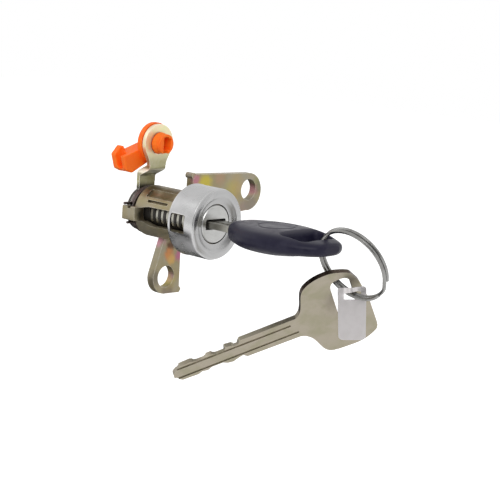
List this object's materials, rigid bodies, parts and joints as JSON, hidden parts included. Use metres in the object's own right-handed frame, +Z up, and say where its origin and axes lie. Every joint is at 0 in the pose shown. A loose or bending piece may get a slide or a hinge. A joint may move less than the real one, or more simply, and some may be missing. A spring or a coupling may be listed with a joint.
{
  "type": "car door lock",
  "caption": "Car door lock cylinder with mounting ears, return spring, lever and rod clip, with its key in place and a spare key and tag on a split ring.",
  "frame": {"origin": "on the lock's turning axis, in the plane of the mounting ears' front faces, where the door skin's hole is", "axes": "-Y out of the door towards the key, +Z up towards the lever's eye, +X along the long ear"},
  "size_m": [0.0732, 0.109, 0.0813],
  "materials": {
    "housing_chromate": "zinc die casting with iridescent yellow chromate",
    "cap_stainless": "satin stainless skin, bright dished rim",
    "spring_steel": "dark oiled spring wire",
    "plug_zinc": "plain zinc die casting",
    "bright_face": "bright plated",
    "wafer_brass": "stamped, pale",
    "small_spring": "bright wire",
    "shutter_steel": "plain stamped steel",
    "lever_plated": "zinc plated, faint green and yellow tint",
    "washer_steel": "zinc plated",
    "oiled_steel": "black oiled spring steel",
    "orange_nylon": "moulded, slight sheen",
    "nickel_blade": "nickel plated, worn",
    "navy_plastic": "dark blue moulded plastic",
    "ring_steel": "nickel plated spring wire",
    "tag_metal": "bright rolled sheet",
    "nickel_key": "nickel plated, warm grey"
  },
  "bodies": {
    "lock_body": {"housing": "housing_chromate", "face_cap": "cap_stainless", "return_spring": "spring_steel"},
    "plug_set": {"plug": "plug_zinc", "plug_face": "bright_face", "wafer_1": "wafer_brass", "wafer_2": "wafer_brass", "wafer_3": "wafer_brass", "wafer_4": "wafer_brass", "wafer_5": "wafer_brass", "wafer_6": "wafer_brass", "wafer_7": "wafer_brass", "wafer_8": "wafer_brass", "wafer_spring_1": "small_spring", "wafer_spring_2": "small_spring", "wafer_spring_3": "small_spring", "wafer_spring_4": "small_spring", "wafer_spring_5": "small_spring", "wafer_spring_6": "small_spring", "wafer_spring_7": "small_spring", "wafer_spring_8": "small_spring", "keyway_shutter": "shutter_steel", "shutter_pin": "shutter_steel", "shutter_spring": "small_spring", "lever": "lever_plated", "lever_washer": "washer_steel", "retaining_clip": "oiled_steel"},
    "rod_link": {"rod_clip": "orange_nylon"},
    "main_key": {"key_blade": "nickel_blade", "key_head": "navy_plastic"},
    "ring": {"key_ring": "ring_steel"},
    "tag": {"key_tag": "tag_metal"},
    "spare": {"spare_key": "nickel_key"}
  },
  "joints": [
    {"name": "plug_turn", "type": "hinge", "parent": "lock_body", "child": "plug_set", "pos_m": [0, 0, 0], "axis": [0, -1, 0], "range_deg": [-45, 45], "stiffness_Nm_per_rad": 0.25},
    {"name": "key_slide", "type": "slide", "parent": "plug_set", "child": "main_key", "axis": [0, -1, 0], "range_m": [0, 0.04]},
    {"name": "clip_turn", "type": "hinge", "parent": "plug_set", "child": "rod_link", "pos_m": [0, 0.009, 0.0243], "axis": [0, -1, 0], "range_deg": [-60, 4]},
    {"name": "ring_swing", "type": "hinge", "parent": "main_key", "child": "ring", "pos_m": [0.006, -0.072, 0], "axis": [1, 0, 0], "range_deg": [-40, 5]},
    {"name": "spare_key_swing", "type": "hinge", "parent": "ring", "child": "spare", "pos_m": [0.012, -0.0698, -0.0131], "axis": [0.2939, -0.7573, -0.5833], "range_deg": [-30, 10]},
    {"name": "tag_swing", "type": "hinge", "parent": "ring", "child": "tag", "pos_m": [0.0133, -0.0741, -0.016], "axis": [0.1303, -0.9572, -0.2585], "range_deg": [-15, 30]}
  ]
}
